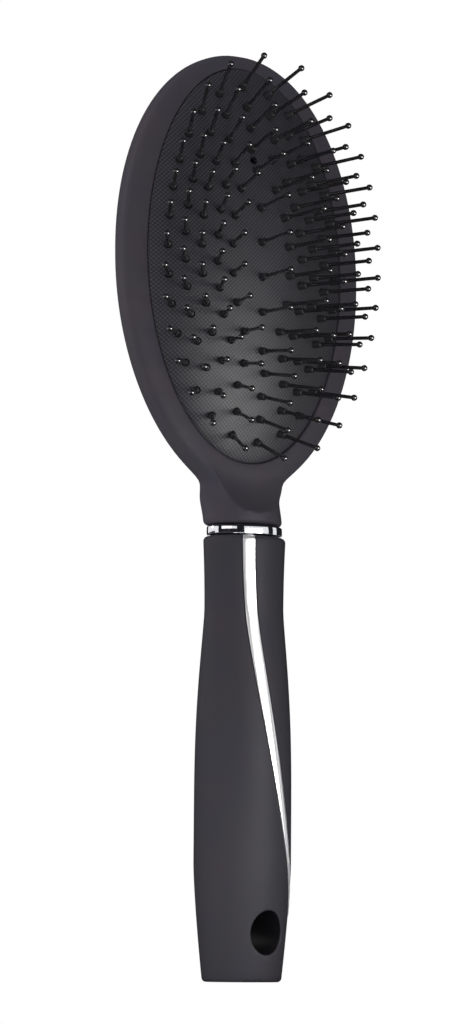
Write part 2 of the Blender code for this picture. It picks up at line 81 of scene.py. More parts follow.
# %% [markdown]
# ## The camera
# A photograph is matched from the camera outwards. This one was taken from about a metre away, low
# down and a little to the left of the pins, so the camera stands 10 mm over the floor, 33 degrees
# round from the front, and looks up by 6 degrees. A long lens keeps the brush from looking
# stretched, and the frame is rolled by less than half a degree, as hand-held frames are.

# %% Place the camera
CAMERA_DISTANCE = 1060.0
CAMERA_HEIGHT = 10.0
CAMERA_AZIMUTH = math.radians(33.0)
CAMERA_TILT = math.radians(6.0)
CAMERA_PAN = math.radians(-0.1)
CAMERA_ROLL = math.radians(0.4)
LENS = 144.1

turn = CAMERA_AZIMUTH + CAMERA_PAN
look = Vector((math.sin(turn) * math.cos(CAMERA_TILT), math.cos(turn) * math.cos(CAMERA_TILT),
               math.sin(CAMERA_TILT)))
level_right = look.cross(Vector((0, 0, 1))).normalized()
level_up = level_right.cross(look)
right = math.cos(CAMERA_ROLL) * level_right + math.sin(CAMERA_ROLL) * level_up
up = math.cos(CAMERA_ROLL) * level_up - math.sin(CAMERA_ROLL) * level_right
camera_data = bpy.data.cameras.new("photo_camera")
camera_data.lens = LENS
camera_data.sensor_width = 36.0
camera_data.clip_start = 0.02
camera_data.clip_end = 30.0
camera = bpy.data.objects.new("photo_camera", camera_data)
bpy.context.scene.collection.objects.link(camera)
camera.matrix_world = Matrix((right, up, -look)).transposed().to_4x4()
camera.location = Vector((-CAMERA_DISTANCE * math.sin(CAMERA_AZIMUTH),
                          -CAMERA_DISTANCE * math.cos(CAMERA_AZIMUTH), CAMERA_HEIGHT)) * MM
bpy.context.scene.camera = camera
bpy.context.scene.view_settings.view_transform = "Standard"
print("camera at", [round(value, 3) for value in camera.location])

# %% [markdown]
# ## Node helpers
# Materials and the world are networks of nodes. These helpers keep them readable: they add a node,
# set its inputs, wire it to another and do sums. What is the same all over a surface is typed
# straight into the shader, and only what changes over the surface is wired.

# %% Helpers for nodes
def add_node(tree, kind, **settings):
    node = tree.nodes.new(kind)
    for name, value in settings.items():
        setattr(node, name, value)
    return node


def set_values(node, **values):
    """Set a node's inputs; an underscore in a name stands for a space."""
    for label, value in values.items():
        node.inputs[label.replace("_", " ")].default_value = value


def wire(tree, source, target):
    tree.links.new(source, target)


def feed(tree, socket, value):
    """Give a socket either a plain value or another node's output."""
    if isinstance(value, bpy.types.NodeSocket):
        wire(tree, value, socket)
    else:
        socket.default_value = value


def math_node(tree, operation, *values):
    node = add_node(tree, "ShaderNodeMath", operation=operation)
    for socket, value in zip(node.inputs, values):
        feed(tree, socket, value)
    return node.outputs[0]


print("node helpers ready")

# %% [markdown]
# ## A white studio
# The brush is shown on plain white. The world is a soft grey light for matt surfaces, but the camera
# and every mirror-like surface see it as pure white. The Light Path node tells the two apart. The
# floor further down needs the same trick, so it is made of two helpers.

# %% The world
AMBIENT = 0.82


def seen_directly(tree):
    """1 for what the camera or a mirror image sees, 0 for light that falls on matt surfaces."""
    path = add_node(tree, "ShaderNodeLightPath")
    seen = math_node(tree, "MAXIMUM", path.outputs["Is Camera Ray"], path.outputs["Is Glossy Ray"])
    return math_node(tree, "MAXIMUM", seen, path.outputs["Is Transmission Ray"])


def blend_shaders(tree, share, first, second, surface):
    blend = add_node(tree, "ShaderNodeMixShader")
    wire(tree, share, blend.inputs[0])
    wire(tree, first.outputs[0], blend.inputs[1])
    wire(tree, second.outputs[0], blend.inputs[2])
    wire(tree, blend.outputs[0], surface)


world = bpy.data.worlds.new("studio")
bpy.context.scene.world = world
world.use_nodes = True
tree = world.node_tree
tree.nodes.clear()
soft = add_node(tree, "ShaderNodeBackground")
set_values(soft, Color=(0.96, 0.96, 1.0, 1), Strength=AMBIENT)
white = add_node(tree, "ShaderNodeBackground")
set_values(white, Color=(1, 1, 1, 1), Strength=1.0)
output = add_node(tree, "ShaderNodeOutputWorld")
blend_shaders(tree, seen_directly(tree), soft, white, output.inputs["Surface"])
print("world light", AMBIENT)

# %% [markdown]
# ## The floor
# The floor is one large plane of white board just under the handle's end. Most of what the camera
# sees of it is set to plain white, and the rest is ordinary matt white, so that the brush still
# leaves a faint shadow where it stands. Further out, where the lamps no longer reach the board, the
# white takes over completely and no horizon shows.

# %% Make the floor
FLOOR_SIZE = 6.0
FLOOR_DROP = 0.2
FLOOR_WHITE_SHARE = 0.90
FLOOR_SHADE_REACH = 0.12
FLOOR_WHITE_FROM = 0.40

deselect_all()
bpy.ops.mesh.primitive_plane_add(size=FLOOR_SIZE, location=(0, 0, -FLOOR_DROP * MM))
floor = bpy.context.object
floor.name = "studio_floor"
bpy.ops.object.transform_apply(location=True, rotation=True, scale=True)
board = bpy.data.materials.new("white_board")
board.use_nodes = True
tree = board.node_tree
matt = tree.nodes["Principled BSDF"]
set_values(matt, Base_Color=(0.93, 0.93, 0.93, 1), Roughness=0.9, Specular_IOR_Level=0.0)
glow = add_node(tree, "ShaderNodeEmission")
set_values(glow, Strength=1.0)
place = add_node(tree, "ShaderNodeTexCoord")
away = add_node(tree, "ShaderNodeVectorMath", operation="LENGTH")
wire(tree, place.outputs["Object"], away.inputs[0])
whiter = add_node(tree, "ShaderNodeMapRange")
set_values(whiter, From_Min=FLOOR_SHADE_REACH, From_Max=FLOOR_WHITE_FROM,
           To_Min=FLOOR_WHITE_SHARE, To_Max=1.0)
wire(tree, away.outputs["Value"], whiter.inputs["Value"])
share = math_node(tree, "MULTIPLY", seen_directly(tree), whiter.outputs["Result"])
blend_shaders(tree, share, matt, glow, tree.nodes["Material Output"].inputs["Surface"])
floor.data.materials.append(board)
print("floor", FLOOR_SIZE, "m across")

# %% [markdown]
# ## Lamps
# The brush is matt and dark, so two things make it readable: even light that shows its colour, and
# a sheen that shows its form. The soft lamp gives the first, from the left and level with the brush,
# and a smaller one above it lights the top of the rim and the lip of the dent in the neck. The sheen
# comes from a low softbox in front on the right, which is set to work on shine alone. It lights the
# lower half of the rubber dome and the right half of the grip, and leaves a spark on every ball tip.
# A narrow lamp behind draws a line along the edge of the head, a broad one lights the back, and a
# tiny one stands at the handle's end, where the white board throws its light up.

# %% Hang the lamps
def hang_lamp(name, azimuth, elevation, distance, size, watts, colour, aim, hide_from=None):
    """An area lamp on a sphere round its aim; azimuth 0 is in front of the pins, 90 to their right."""
    round_about = math.radians(azimuth)
    lift = math.radians(elevation)
    direction = Vector((math.sin(round_about) * math.cos(lift),
                        -math.cos(round_about) * math.cos(lift), math.sin(lift)))
    target = Vector(aim) * MM
    deselect_all()
    bpy.ops.object.light_add(type="AREA", location=target + direction * distance)
    lamp = bpy.context.object
    lamp.name = name
    lamp.rotation_euler = direction.to_track_quat("Z", "Y").to_euler()
    lamp.data.shape = "RECTANGLE"
    lamp.data.size = size[0]
    lamp.data.size_y = size[1]
    lamp.data.energy = watts
    lamp.data.color = colour
    lamp.visible_camera = False
    if hide_from:
        setattr(lamp, "visible_" + hide_from, False)


HEAD_MIDDLE = (0, 0, 185)
HEAD_LOW = (0, 0, 165)
HANDLE_TOE = (0, 0, 6)
hang_lamp("soft_lamp", -58, 9, 1.1, (0.7, 0.8), 2.0, (1.0, 0.95, 0.97), HEAD_MIDDLE)
hang_lamp("top_lamp", -35, 62, 1.0, (0.5, 0.5), 2.0, (1.0, 0.98, 0.99), HEAD_MIDDLE, "glossy")
hang_lamp("sheen_lamp", 17, -12, 0.36, (0.25, 0.15), 1.55, (1.0, 0.98, 0.95), HEAD_LOW, "diffuse")
hang_lamp("edge_lamp", -128, 30, 0.9, (0.12, 0.8), 2.5, (0.97, 0.92, 1.0), HEAD_MIDDLE)
hang_lamp("back_lamp", 165, 22, 1.1, (0.8, 0.8), 4.0, (1.0, 0.98, 0.97), HEAD_MIDDLE, "glossy")
hang_lamp("toe_lamp", -20, 12, 0.09, (0.06, 0.02), 0.028, (1.0, 1.0, 1.0), HANDLE_TOE)
print("lamps hung")

# %% [markdown]
# ## Black cards
# Chrome has no colour of its own and only looks like metal when it mirrors both light and dark. A
# product photographer stands black cards round the table for that. These cards are placed by the
# angle at which the collar sees them: a low one where the camera stands, tall ones on the left, on
# the right and beside the softbox, and two behind. A black hood hangs over them, open from 25 cm
# down, and a black mat lies round the handle's end, so that the ball tips stay black but for their
# spark. All of it shows in reflections only and takes no light from the brush.

# %% Stand the cards round the table
CARD_DISTANCE = 0.5
CARD_LIFT = 0.002
CARDS = {
    "card_left": (-91, -76, 0.47),
    "card_low": (-76, -25, 0.175),
    "card_camera": (-25, -6, 0.47),
    "card_narrow": (53, 68, 0.47),
    "card_right": (82, 132, 0.47),
    "card_behind": (150, 190, 0.47),
    "card_behind_low": (190, 250, 0.12),
}

card_black = bpy.data.materials.new("card_black")
card_black.use_nodes = True
set_values(card_black.node_tree.nodes["Principled BSDF"], Base_Color=(0.012, 0.012, 0.014, 1),
           Roughness=0.95, Specular_IOR_Level=0.0)


def show_in_reflections(name):
    """Leave the card that was just made out of everything but mirror images."""
    card = bpy.context.object
    card.name = card.data.name = name
    bpy.ops.object.transform_apply(location=True, rotation=True, scale=True)
    card.data.materials.append(card_black)
    for ray in ("camera", "diffuse", "transmission", "volume_scatter", "shadow"):
        setattr(card, "visible_" + ray, False)


for name, (first, last, height) in CARDS.items():
    middle = math.radians((first + last) / 2)
    width = 2 * CARD_DISTANCE * math.tan(math.radians(last - first) / 2)
    spot = (CARD_DISTANCE * math.sin(middle), -CARD_DISTANCE * math.cos(middle), height / 2 + CARD_LIFT)
    deselect_all()
    bpy.ops.mesh.primitive_plane_add(size=1, location=spot, rotation=(math.pi / 2, 0, middle))
    bpy.context.object.scale = (width, height, 1)
    show_in_reflections(name)
print(len(CARDS), "black cards")

# %% Hang the hood and lay the mat
HOOD_BOTTOM = 0.25
HOOD_TOP = 0.80
MAT_RADIUS = 0.45
ROUND_SIDES = 48

deselect_all()
bpy.ops.mesh.primitive_cylinder_add(
    vertices=ROUND_SIDES, radius=CARD_DISTANCE, depth=HOOD_TOP - HOOD_BOTTOM,
    end_fill_type="NOTHING", location=(0, 0, (HOOD_TOP + HOOD_BOTTOM) / 2))
show_in_reflections("card_hood")
for name, radius, height in (("card_hood_top", CARD_DISTANCE, HOOD_TOP),
                             ("card_mat", MAT_RADIUS, -FLOOR_DROP * MM / 2)):
    deselect_all()
    bpy.ops.mesh.primitive_circle_add(vertices=ROUND_SIDES, radius=radius, fill_type="NGON",
                                      location=(0, 0, height))
    show_in_reflections(name)
print("hood and mat ready")

# %% [markdown]
# ## Shared effects
# An effect that finishes share, or that takes many nodes, is built once as a node group. The first
# clouds a colour with two faint tints, because soft-touch paint is never quite even. The second is a
# very fine grain. The third is the square weave that is pressed into the rubber, laid diagonally.

# %% Node group: cloudy colour
def new_group(name, inputs, outputs):
    group = bpy.data.node_groups.new(name, "ShaderNodeTree")
    for label, kind, value in inputs:
        socket = group.interface.new_socket(label, in_out="INPUT", socket_type=kind)
        socket.default_value = value
    for label, kind in outputs:
        group.interface.new_socket(label, in_out="OUTPUT", socket_type=kind)
    return group, add_node(group, "NodeGroupInput"), add_node(group, "NodeGroupOutput")


def mix_colour(tree, share, first, second):
    node = add_node(tree, "ShaderNodeMix", data_type="RGBA")
    for place, value in (("Factor", share), (6, first), (7, second)):
        feed(tree, node.inputs[place], value)
    return node.outputs[2]


def spread(tree, value, low, high):
    node = add_node(tree, "ShaderNodeMapRange")
    set_values(node, From_Min=low, From_Max=high)
    wire(tree, value, node.inputs["Value"])
    return node.outputs["Result"]


def noise(tree, scale, detail):
    place = add_node(tree, "ShaderNodeTexCoord")
    node = add_node(tree, "ShaderNodeTexNoise")
    wire(tree, place.outputs["Object"], node.inputs["Vector"])
    set_values(node, Detail=detail, Roughness=0.5)
    feed(tree, node.inputs["Scale"], scale)
    return node.outputs["Fac"]


cloudy, given, result = new_group(
    "cloudy_colour",
    [("Colour", "NodeSocketColor", (0.05, 0.05, 0.05, 1)),
     ("Cool tint", "NodeSocketColor", (0.05, 0.05, 0.06, 1)),
     ("Warm tint", "NodeSocketColor", (0.06, 0.05, 0.05, 1)),
     ("Cloud scale", "NodeSocketFloat", 60.0)],
    [("Colour", "NodeSocketColor")])
cool_share = spread(cloudy, noise(cloudy, given.outputs["Cloud scale"], 2.0), 0.45, 0.75)
double_scale = math_node(cloudy, "MULTIPLY", given.outputs["Cloud scale"], 1.7)
warm_share = spread(cloudy, noise(cloudy, double_scale, 3.0), 0.5, 0.8)
cooled = mix_colour(cloudy, cool_share, given.outputs["Colour"], given.outputs["Cool tint"])
warmed = mix_colour(cloudy, warm_share, cooled, given.outputs["Warm tint"])
wire(cloudy, warmed, result.inputs["Colour"])
print("group", cloudy.name)

# %% Node group: fine grain
grain, given, result = new_group(
    "fine_grain", [("Grain scale", "NodeSocketFloat", 3000.0)],
    [("Height", "NodeSocketFloat"), ("Roughness shift", "NodeSocketFloat")])
wire(grain, noise(grain, given.outputs["Grain scale"], 2.0), result.inputs["Height"])
slow_noise = noise(grain, 90.0, 3.0)
wire(grain, spread(grain, slow_noise, 0.3, 0.7), result.inputs["Roughness shift"])
print("group", grain.name)

# %% Node group: diagonal square weave
WEAVE_PITCH = 0.78

weave, given, result = new_group(
    "diagonal_weave", [("Threads per metre", "NodeSocketFloat", 1 / (WEAVE_PITCH * MM))],
    [("Height", "NodeSocketFloat"), ("Thread", "NodeSocketFloat")])
place = add_node(weave, "ShaderNodeTexCoord")
axes = add_node(weave, "ShaderNodeSeparateXYZ")
wire(weave, place.outputs["Object"], axes.inputs[0])
threads = math_node(weave, "MULTIPLY", given.outputs["Threads per metre"], math.pi * math.sqrt(0.5))
waves = []
for operation in ("ADD", "SUBTRACT"):
    along = math_node(weave, operation, axes.outputs["X"], axes.outputs["Z"])
    wave = math_node(weave, "SINE", math_node(weave, "MULTIPLY", along, threads))
    waves.append(math_node(weave, "ABSOLUTE", wave))
pillow = math_node(weave, "MULTIPLY", waves[0], waves[1])
wire(weave, pillow, result.inputs["Height"])
wire(weave, spread(weave, pillow, 0.1, 0.8), result.inputs["Thread"])
print("group", weave.name)

# %% [markdown]
# ## Soft-touch paint
# The head and the grip are moulded plastic under a soft-touch coat: charcoal, matt, with a faint
# purple in it. Its shine is wide and weak, so the roughness is high and the specular level low. The
# grain is too fine to see, but it breaks up the highlights. Most finishes are clouded and uneven in
# the same way, so the helpers here serve the others too. Colours are written as a screen shows them.

# %% The soft-touch finish
def display(red, green, blue):
    """Turn colour values from 0 to 255, as a screen shows them, into linear ones."""
    linear = [((value / 255 + 0.055) / 1.055) ** 2.4 if value > 10 else value / 255 / 12.92
              for value in (red, green, blue)]
    return (*linear, 1.0)


def new_finish(name, specular, roughness=0.5, metallic=0.0):
    material = bpy.data.materials.new(name)
    material.use_nodes = True
    shader = material.node_tree.nodes["Principled BSDF"]
    set_values(shader, Roughness=roughness, Specular_IOR_Level=specular, Metallic=metallic)
    return material, material.node_tree, shader


def cloud_colour(tree, shader, plain, cool, warm, scale):
    clouds = add_node(tree, "ShaderNodeGroup", node_tree=cloudy)
    set_values(clouds, Colour=display(*plain), Cool_tint=display(*cool), Warm_tint=display(*warm),
               Cloud_scale=scale)
    wire(tree, clouds.outputs["Colour"], shader.inputs["Base Color"])


def vary_roughness(tree, shader, lowest, rise, scale):
    """Let the roughness wander upwards from its lowest value, and give back the grain's height."""
    fine = add_node(tree, "ShaderNodeGroup", node_tree=grain)
    set_values(fine, Grain_scale=scale)
    uneven = math_node(tree, "MULTIPLY", fine.outputs["Roughness shift"], rise)
    wire(tree, math_node(tree, "ADD", uneven, lowest), shader.inputs["Roughness"])
    return fine.outputs["Height"]


def add_bump(tree, height, shader, distance, strength):
    bump = add_node(tree, "ShaderNodeBump")
    set_values(bump, Distance=distance * MM, Strength=strength)
    wire(tree, height, bump.inputs["Height"])
    wire(tree, bump.outputs[0], shader.inputs["Normal"])


def soft_touch(name, plain, cool, warm, cloud_scale):
    material, tree, shader = new_finish(name, specular=0.06)
    cloud_colour(tree, shader, plain, cool, warm, cloud_scale)
    height = vary_roughness(tree, shader, lowest=0.46, rise=0.08, scale=3200.0)
    add_bump(tree, height, shader, distance=0.02, strength=0.6)
    return material


# Head and grip wear one coat; the head's copy is painted lighter than the grip's, as painted light.
head_coat_painted_lighter = soft_touch("head_soft_touch", (58, 55, 60), (55, 54, 62), (63, 56, 61), 45.0)
grip_paint = soft_touch("grip_soft_touch", (49, 48, 52), (48, 48, 55), (53, 49, 52), 38.0)
print("soft-touch finishes ready")

# %% [markdown]
# ## Rubber, nylon and metal
# The pad is matt rubber with a fine woven face: the weave raises the tops of its threads a little, and
# they are painted lighter than the valleys between them, as painted light and shade. The pins are black
# nylon, glossy on shaft and ball and matt at the root, with a refractive index a little over real
# nylon's, so that the small sparks on the balls are clear. The collar is chrome, which is nothing but a
# very smooth metal that mirrors the studio. The stripe is a silver lacquer: flakes of metal in a pale
# ground, so it is only part metal, and satin.

# %% The rubber of the pad
rubber, tree, shader = new_finish("woven_rubber", specular=0.22, roughness=0.42)
cloth = add_node(tree, "ShaderNodeGroup", node_tree=weave)
# Painted light and shade: the tops of the threads are lighter, the valleys between them darker.
threads = mix_colour(tree, cloth.outputs["Thread"], display(33, 33, 37), display(58, 57, 62))
wire(tree, threads, shader.inputs["Base Color"])
add_bump(tree, cloth.outputs["Height"], shader, distance=0.05, strength=0.5)
print("rubber ready")

# %% Nylon, chrome and silver
NYLON_INDEX = 1.7


def black_nylon(name, specular, lowest_roughness, plain, cool, warm):
    material, tree, shader = new_finish(name, specular)
    set_values(shader, IOR=NYLON_INDEX)
    cloud_colour(tree, shader, plain, cool, warm, scale=300.0)
    vary_roughness(tree, shader, lowest_roughness, rise=0.08, scale=2500.0)
    return material


nylon = black_nylon("pin_nylon_glossy", 1.0, 0.12, (25, 24, 26), (27, 27, 31), (30, 27, 27))
root_nylon = black_nylon("pin_nylon_matt", 0.15, 0.46, (35, 34, 36), (37, 37, 41), (40, 37, 37))

chrome, tree, shader = new_finish("collar_chrome", specular=0.5, metallic=1.0)
cloud_colour(tree, shader, (226, 227, 231), (218, 222, 232), (232, 228, 226), scale=200.0)
vary_roughness(tree, shader, lowest=0.05, rise=0.04, scale=4000.0)

silver, tree, shader = new_finish("stripe_silver", specular=0.5, metallic=0.7)
cloud_colour(tree, shader, (240, 240, 241), (232, 234, 238), (241, 238, 234), scale=120.0)
height = vary_roughness(tree, shader, lowest=0.18, rise=0.08, scale=5000.0)
add_bump(tree, height, shader, distance=0.006, strength=0.5)
print("nylon, chrome and silver ready")

# %% [markdown]
# ## Modelling with rings
# Nearly every piece of this brush is a stack of ovals. By hand, one would add a filled circle, press
# it to an oval, extrude its face upwards, scale it to the next oval, and go on to the top. That is
# what these helpers do: the first walks a selection through a list of rings, and the second starts
# it with a circle. A ring is (half size in X, half size in Y, height).

# %% Helpers: walk a face through rings
def extrude_rings(rings):
    """Extrude what is selected from ring to ring; it lies on the first ring already."""
    for before, after in zip(rings, rings[1:]):
        bpy.ops.mesh.extrude_region_move()
        bpy.ops.transform.translate(value=(0, 0, (after[2] - before[2]) * MM))
        bpy.ops.transform.resize(value=(after[0] / before[0], after[1] / before[1], 1),
                                 center_override=(0, 0, 0))


def turn_outwards():
    bpy.ops.mesh.select_all(action="SELECT")
    bpy.ops.mesh.normals_make_consistent(inside=False)
    bpy.ops.object.mode_set(mode="OBJECT")


def stack_rings(name, rings, count):
    """A closed shape through a list of oval rings."""
    deselect_all()
    bpy.ops.mesh.primitive_circle_add(vertices=count, radius=MM, fill_type="NGON")
    piece = bpy.context.object
    piece.name = piece.data.name = name
    bpy.ops.object.mode_set(mode="EDIT")
    bpy.ops.mesh.select_mode(type="FACE")
    bpy.ops.mesh.select_all(action="SELECT")
    bpy.ops.transform.resize(value=(rings[0][0], rings[0][1], 1), center_override=(0, 0, 0))
    bpy.ops.transform.translate(value=(0, 0, rings[0][2] * MM))
    extrude_rings(rings)
    turn_outwards()
    return piece


def straight(name, half_x, half_y, bottom, top, count):
    """An upright oval bar, to cut with."""
    return stack_rings(name, [(half_x, half_y, bottom), (half_x, half_y, top)], count)


def apply_modifier(piece, kind, **settings):
    select_only(piece)
    change = piece.modifiers.new(kind, kind)
    for name, value in settings.items():
        setattr(change, name, value)
    bpy.ops.object.modifier_apply(modifier=change.name)


def carve(piece, cutter):
    """Cut one closed shape out of another, and throw the cutter away."""
    apply_modifier(piece, "BOOLEAN", operation="DIFFERENCE", solver="EXACT", object=cutter)
    bpy.data.objects.remove(cutter)


print("ring helpers ready")

# %% [markdown]
# An opening that a Boolean cuts has a knife-sharp edge, and real moulded openings are rounded. The
# way out is to delete the walls that the Boolean left, select the open edge, and extrude it inwards
# in small steps along a quarter circle. The new wall then follows the surface that it starts from.
# The same quarter circle rounds the ends of the stacked pieces.

# %% Helpers: round an edge
ROLL_STEPS = 4


def select_where(piece, kind, wanted):
    """In edit mode, select the faces or open edges whose middle passes a test, in millimetres."""
    bpy.ops.mesh.select_mode(type=kind)
    bpy.ops.mesh.select_all(action="DESELECT")
    shape = bmesh.from_edit_mesh(piece.data)
    if kind == "FACE":
        middles = [(face, face.calc_center_median()) for face in shape.faces]
    else:
        middles = [(edge, (edge.verts[0].co + edge.verts[1].co) / 2)
                   for edge in shape.edges if edge.is_boundary]
    for part, middle in middles:
        part.select_set(wanted(middle / MM))
    bmesh.update_edit_mesh(piece.data)


def quarter_circle(start, way, radius, steps=5):
    """Heights and insets from a flat face to a wall; way is 1 upwards and -1 downwards."""
    found = []
    for step in range(steps + 1):
        bend = math.pi / 2 * step / steps
        found.append((start + way * radius * (1 - math.cos(bend)), radius * (1 - math.sin(bend))))
    return found


def rolled_edge(half_x, half_y, radius, way):
    """Rings from an opening that is a radius too wide, into its wall."""
    return [(half_x + spare, half_y + spare, height)
            for height, spare in quarter_circle(0.0, way, radius, ROLL_STEPS)]


print("edge helpers ready")

# %% [markdown]
# ## The grip: its outline
# The handle is an oval in section all the way. It widens from its end to a belly that fills the
# palm, narrows to a waist, and widens a little again under the collar. Both its width and its depth
# follow the same curve, so one function gives them, from the sizes at those four places.

# %% The grip's outline
HANDLE_LENGTH = 114.7
GRIP_WIDTHS = {"end": 21.0, "belly": 25.8, "waist": 22.0, "top": 23.0}
GRIP_DEPTHS = {"end": 18.8, "belly": 23.6, "waist": 16.4, "top": 17.3}
BELLY_LOW_HEIGHT = 30.0
BELLY_HIGH_HEIGHT = 42.0
WAIST_HEIGHT = 95.5
END_FULLNESS = 1.35
SHOULDER_FULLNESS = 3.0
WAIST_SOFTNESS = 1.25


def mix(start, end, share):
    return start + (end - start) * share


def clamp(value):
    return min(1.0, max(0.0, value))


def smoothstep(value):
    value = clamp(value)
    return value * value * (3 - 2 * value)


def grip_half(height, sizes):
    if height < BELLY_LOW_HEIGHT:
        share = 1 - (1 - height / BELLY_LOW_HEIGHT) ** END_FULLNESS
        return mix(sizes["end"], sizes["belly"], share) / 2
    if height < WAIST_HEIGHT:
        below = (WAIST_HEIGHT - height) / (WAIST_HEIGHT - BELLY_HIGH_HEIGHT)
        share = 1 - max(0.0, 1 - below ** WAIST_SOFTNESS) ** SHOULDER_FULLNESS
        return mix(sizes["waist"], sizes["belly"], share) / 2
    share = ((height - WAIST_HEIGHT) / (HANDLE_LENGTH - WAIST_HEIGHT)) ** 2
    return mix(sizes["waist"], sizes["top"], share) / 2


def grip_halves(height, inset=0.0):
    return grip_half(height, GRIP_WIDTHS) - inset, grip_half(height, GRIP_DEPTHS) - inset


for height in (0, 36, WAIST_HEIGHT, HANDLE_LENGTH):
    print("at", height, "mm:", round(2 * grip_half(height, GRIP_WIDTHS), 1), "mm wide")

# %% [markdown]
# ## The grip: its body
# The face is walked up the handle in steps of about 2 mm. At both ends it first goes through the
# small steps of a rounded edge, which is what catches the thin line of light at the very bottom.

# %% Model the grip's body
GRIP_SEGMENTS = 112
GRIP_STEPS = 58
END_EDGE = 1.0
TOP_EDGE = 1.3

wall_top = HANDLE_LENGTH - TOP_EDGE
grip_stations = quarter_circle(0, 1, END_EDGE)
for step in range(1, GRIP_STEPS):
    grip_stations.append((mix(END_EDGE, wall_top, step / GRIP_STEPS), 0.0))
grip_stations += reversed(quarter_circle(HANDLE_LENGTH, -1, TOP_EDGE))
grip = stack_rings("grip", [(*grip_halves(height, inset), height) for height, inset in grip_stations],
                   GRIP_SEGMENTS)
tell(grip)

# %% [markdown]
# ## The grip: its hanging hole
# The hole is an upright oval near the end, a little towards the stripe. To work on it in its own
# plane, the grip is laid down so that the hole points along Z. A cutter a little wider than the hole
# goes through, its walls are deleted, and both open edges are rolled in and bridged.

# %% Cut and round the hanging hole
HOLE_WIDTH = 9.8
HOLE_HEIGHT = 11.4
HOLE_CENTRE_HEIGHT = 12.6
HOLE_SIDE_OFFSET = 1.2
HOLE_EDGE = 0.35
HOLE_SEGMENTS = 72
HOLE_WALL_FROM = 0.99
HOLE_WALL_TO = 1.001
CUTTER_REACH = 30.0

hole_half_x = HOLE_WIDTH / 2
hole_half_y = HOLE_HEIGHT / 2
hole_place = (Matrix.Translation(Vector((HOLE_SIDE_OFFSET, 0, HOLE_CENTRE_HEIGHT)) * MM)
              @ Matrix.Rotation(math.pi / 2, 4, "X"))
grip.data.transform(hole_place.inverted())
wide_x = hole_half_x + HOLE_EDGE
wide_y = hole_half_y + HOLE_EDGE
carve(grip, straight("hole_cutter", wide_x, wide_y, -CUTTER_REACH, CUTTER_REACH, HOLE_SEGMENTS))
bpy.ops.object.mode_set(mode="EDIT")


def oval_share(point, half_x, half_y):
    """1 on the edge of an oval, and less inside it."""
    return (point.x / half_x) ** 2 + (point.y / half_y) ** 2


select_where(grip, "FACE",
             lambda middle: HOLE_WALL_FROM < oval_share(middle, wide_x, wide_y) < HOLE_WALL_TO)
bpy.ops.mesh.delete(type="FACE")
for side in (1, -1):
    select_where(grip, "EDGE", lambda middle: middle.z * side > 0)
    extrude_rings(rolled_edge(hole_half_x, hole_half_y, HOLE_EDGE, -side))
select_where(grip, "EDGE", lambda middle: True)
bpy.ops.mesh.bridge_edge_loops()
turn_outwards()
grip.data.transform(hole_place)
tell(grip)

# %% [markdown]
# ## The stripe
# The silver stripe starts under the collar, left of the middle, and sweeps round to the right as it
# goes down, thinning all the way. No single operator bends a strip like that, so a grid is added and
# its rows are laid on the grip in code. Its first rows bend over the rounded top edge of the grip, so
# that the stripe seems to come out from under the collar. Its face is crowned, more so lower down,
# where it shows a white side and a grey one. Solidify gives it its thickness and Bevel its soft
# edges. The same strip, a little wider and deeper, cuts the groove that it lies in.

# %% Lay a strip on the grip
STRIPE_TOP_ANGLE = math.radians(-19.5)
STRIPE_END_ANGLE = math.radians(58.0)
STRIPE_SWEEP = 1.7
STRIPE_THICKNESS = 0.8
STRIPE_WRAP_SHARE = 0.08
STRIPE_WRAP_REACH = 0.985
STRIPE_END_HEIGHT = 17.0
STRIPE_TOP_WIDTH = 3.3
STRIPE_END_WIDTH = 0.9
STRIPE_TAPER = 3
STRIPE_LIFT = 0.04
STRIPE_CROWN = 0.13
STRIPE_TOP_CROWN_SHARE = 0.15
STRIPE_EDGE = 0.1
STRIPE_CORNER = math.radians(50)
STRIPE_COLUMNS = 8
STRIPE_ROWS = 90
GAP = 0.3


def grip_surface(angle, height, lift):
    """A point over the grip, which bends inwards over the rounded top edge."""
    bend = math.asin(clamp(1 - (HANDLE_LENGTH - height) / TOP_EDGE))
    half_width, half_depth = grip_halves(height, TOP_EDGE * (1 - math.cos(bend)))
    outwards = Vector((math.sin(angle) / half_width, -math.cos(angle) / half_depth)).normalized()
    outwards *= lift * math.cos(bend)
    return Vector((half_width * math.sin(angle) + outwards.x,
                   -half_depth * math.cos(angle) + outwards.y, height + lift * math.sin(bend)))


def strip_height(down, end):
    """Height of a strip's row, from 0 at its top to 1 at its end."""
    if down < STRIPE_WRAP_SHARE:
        bend = math.pi / 2 * down / STRIPE_WRAP_SHARE
        return wall_top + TOP_EDGE * STRIPE_WRAP_REACH * math.cos(bend)
    return mix(wall_top, end, (down - STRIPE_WRAP_SHARE) / (1 - STRIPE_WRAP_SHARE))


def lay_strip(name, margin, lift, crown, thickness):
    deselect_all()
    bpy.ops.mesh.primitive_grid_add(x_subdivisions=STRIPE_COLUMNS, y_subdivisions=STRIPE_ROWS,
                                    size=2 * MM)
    strip = bpy.context.object
    strip.name = strip.data.name = name
    for vertex in strip.data.vertices:
        across = vertex.co.x / MM
        down = (1 - vertex.co.y / MM) / 2
        height = strip_height(down, STRIPE_END_HEIGHT - margin)
        along = clamp((wall_top - height) / (wall_top - STRIPE_END_HEIGHT))
        angle = mix(STRIPE_TOP_ANGLE, STRIPE_END_ANGLE, along ** STRIPE_SWEEP)
        width = mix(STRIPE_TOP_WIDTH, STRIPE_END_WIDTH, along ** STRIPE_TAPER) + 2 * margin
        half_width, half_depth = grip_halves(height)
        reach = math.hypot(half_width * math.cos(angle), half_depth * math.sin(angle))
        swell = crown * mix(STRIPE_TOP_CROWN_SHARE, 1.0, along) * width * (1 - across * across)
        vertex.co = grip_surface(angle + width / 2 / reach * across, height, lift + swell) * MM
    apply_modifier(strip, "SOLIDIFY", thickness=thickness * MM, offset=-1.0)
    return strip


